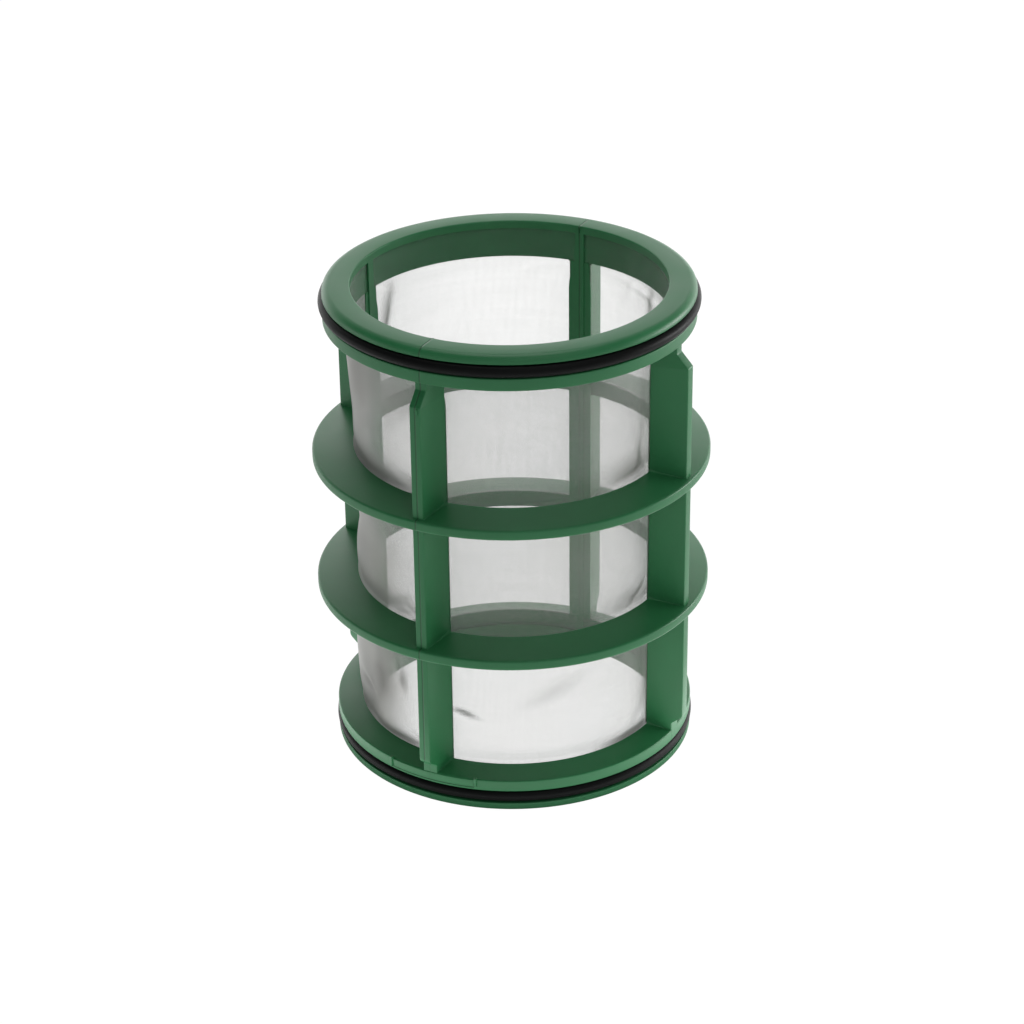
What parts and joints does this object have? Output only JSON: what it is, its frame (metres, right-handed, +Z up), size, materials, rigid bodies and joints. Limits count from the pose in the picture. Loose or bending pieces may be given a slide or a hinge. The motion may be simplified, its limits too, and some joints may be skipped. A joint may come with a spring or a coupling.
{
  "type": "mesh filter element",
  "caption": "Tubular filter element: a fine woven mesh screen moulded into a green ribbed plastic cage, with a rubber seal ring at each end.",
  "frame": {"origin": "centre of the lower end ring's face, where the element stands", "axes": "+Z up along the axis of the tube; the four ribs stand midway between the X and Y axes, so the windows face along X and Y, and the rim patch is on the rib between -X and -Y"},
  "size_m": [0.0864, 0.0864, 0.107],
  "materials": {
    "cage_plastic": "satin, fine mould texture",
    "screen_mesh": "fine woven monofilament, translucent",
    "seal_rubber": "smooth, slightly oily black"
  },
  "bodies": {
    "root": {"cage": "cage_plastic", "mesh_screen": "screen_mesh", "seal_ring_upper": "seal_rubber", "seal_ring_lower": "seal_rubber"}
  },
  "joints": []
}
